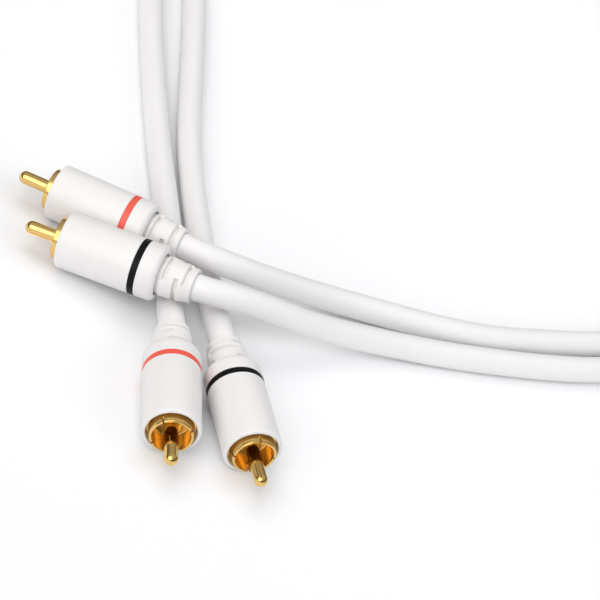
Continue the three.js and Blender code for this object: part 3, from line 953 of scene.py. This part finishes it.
def make_lamp(name, target, lamp_kind, power):
    """Soft lamp that lights surfaces but isn't mirrored in the gold."""
    lamp = bpy.data.lights.new(name, "AREA")
    lamp.shape = "RECTANGLE"
    lamp.size, lamp.size_y = lamp_kind["size"]
    lamp.energy = power
    lamp.color = lamp_kind["tint"]
    thing = bpy.data.objects.new(name, lamp)
    thing.visible_glossy = False
    bpy.context.scene.collection.objects.link(thing)
    aim_at(thing, target + Vector(lamp_kind["offset"]), target)


def make_sky(strength, softbox):
    """Studio round the floor: a dim room, brighter overhead, and a large softbox at the camera's left.

    The softbox is where the direction's dot product with its own middle is high, with a soft edge."""
    world = bpy.data.worlds.new("Studio")
    bpy.context.scene.world = world
    world.use_nodes = True
    tree = world.node_tree
    background = tree.nodes["Background"]
    ahead = tree.nodes.new("ShaderNodeTexCoord").outputs["Generated"]
    split = tree.nodes.new("ShaderNodeSeparateXYZ")
    tree.links.new(ahead, split.inputs[0])
    ramp = tree.nodes.new("ShaderNodeValToRGB")
    tree.links.new(split.outputs["Z"], ramp.inputs[0])
    stops = ramp.color_ramp.elements
    stops.new(ROOM_TONES[1][0])
    for stop, (height, tone) in zip(stops, ROOM_TONES):
        stop.position = height
        stop.color = (tone, tone, tone, 1)
    toward = tree.nodes.new("ShaderNodeVectorMath")
    toward.operation = "DOT_PRODUCT"
    toward.inputs[1].default_value = Vector(SOFTBOX_MIDDLE).normalized()
    tree.links.new(ahead, toward.inputs[0])
    edge = tree.nodes.new("ShaderNodeMapRange")
    edge.interpolation_type = "SMOOTHSTEP"
    edge.inputs["From Min"].default_value = math.cos(math.radians(SOFTBOX_HALF_ANGLE + SOFTBOX_EDGE))
    edge.inputs["From Max"].default_value = math.cos(math.radians(SOFTBOX_HALF_ANGLE))
    tree.links.new(toward.outputs["Value"], edge.inputs["Value"])
    bright = mix_colours(tree, edge.outputs["Result"], ramp.outputs[0], (softbox, softbox, softbox, 1))
    tree.links.new(bright, background.inputs["Color"])
    background.inputs["Strength"].default_value = strength


def make_camera(stage):
    """Camera at the photograph's angle: turned by azimuth, tipped down by elevation, then rolled."""
    a, e, roll = stage.azimuth, stage.elevation, stage.roll
    ahead = Vector((math.sin(a) * math.cos(e), math.cos(a) * math.cos(e), -math.sin(e)))
    level = Vector((math.cos(a), -math.sin(a), 0))
    upright = level.cross(ahead)
    right = math.cos(roll) * level + math.sin(roll) * upright
    up = math.cos(roll) * upright - math.sin(roll) * level
    aim = Vector(plan_shift())
    place = aim - ahead * stage.distance
    data = bpy.data.cameras.new("Camera")
    data.lens = stage.lens
    data.sensor_width = 36
    data.clip_start = 0.01
    camera = bpy.data.objects.new("Camera", data)
    bpy.context.scene.collection.objects.link(camera)
    turn = Matrix((right, up, -ahead)).transposed()
    camera.matrix_world = Matrix.Translation(place) @ turn.to_4x4()
    bpy.context.scene.camera = camera


# Operators


class CABLE_OT_stage(bpy.types.Operator):
    """Make the floor, the lights and the camera"""

    bl_idname = "cable.stage"
    bl_label = "Stage"

    def execute(self, context):
        stage = settings().stage
        middle = Vector(plan_shift())
        make_camera(stage)
        make_floor()
        make_sky(stage.sky, stage.softbox)
        make_lamp("key", middle, KEY_LAMP, stage.key_power)
        make_lamp("fill", middle, FILL_LAMP, stage.fill_power)
        context.scene.view_settings.view_transform = "Standard"
        return {"FINISHED"}


class CABLE_OT_leads(bpy.types.Operator):
    """Make the two cords"""

    bl_idname = "cable.leads"
    bl_label = "Cords"

    def execute(self, context):
        for colour_name in COIL_RADII:
            make_lead(colour_name)
        return {"FINISHED"}


def plug_operator(kind, label, description, make):
    """Operator that makes one kind of piece for every plug."""

    def execute(self, context):
        for plug in PLUGS:
            make(plug)
        return {"FINISHED"}

    return type(f"CABLE_OT_{kind}", (bpy.types.Operator,), {
        "__doc__": description, "bl_idname": f"cable.{kind}", "bl_label": label, "execute": execute})


OPERATORS = (
    CABLE_OT_stage,
    CABLE_OT_leads,
    plug_operator("housings", "Housings", "Make the white housings", make_housing),
    plug_operator("bands", "Colour bands", "Make the red and black colour bands", make_band),
    plug_operator("reliefs", "Strain reliefs", "Make the slotted strain reliefs", make_relief),
    plug_operator("collars", "Collars", "Make the gold collars with their petals", make_collar),
    plug_operator("pins", "Pins", "Make the gold centre pins", make_pin),
    plug_operator("inner", "Inner pieces", "Give the pieces inside the plugs their finishes", finish_inner),
)


class CABLE_PT_panel(bpy.types.Panel):
    """Lists the cable's steps and its settings"""

    bl_idname = "CABLE_PT_panel"
    bl_label = "Audio Cable"
    bl_space_type = "VIEW_3D"
    bl_region_type = "UI"
    bl_category = "Audio Cable"

    def draw(self, context):
        for operator in OPERATORS:
            self.layout.operator(operator.bl_idname)
        chosen = context.scene.audio_cable
        for group in (chosen.plug, chosen.cord, chosen.finish, chosen.stage):
            box = self.layout.box()
            for name in group.__annotations__:
                box.prop(group, name)


CLASSES = (PlugSettings, CordSettings, FinishSettings, StageSettings, CableSettings, *OPERATORS,
           CABLE_PT_panel)


def register():
    for kind in CLASSES:
        bpy.utils.register_class(kind)
    bpy.types.Scene.audio_cable = PointerProperty(type=CableSettings)


def unregister():
    del bpy.types.Scene.audio_cable
    for kind in reversed(CLASSES):
        bpy.utils.unregister_class(kind)


def main():
    register()
    bpy.ops.cable.stage()
    bpy.ops.cable.leads()
    bpy.ops.cable.housings()
    bpy.ops.cable.bands()
    bpy.ops.cable.reliefs()
    bpy.ops.cable.collars()
    bpy.ops.cable.pins()
    bpy.ops.cable.inner()


if __name__ == "__main__":
    main()
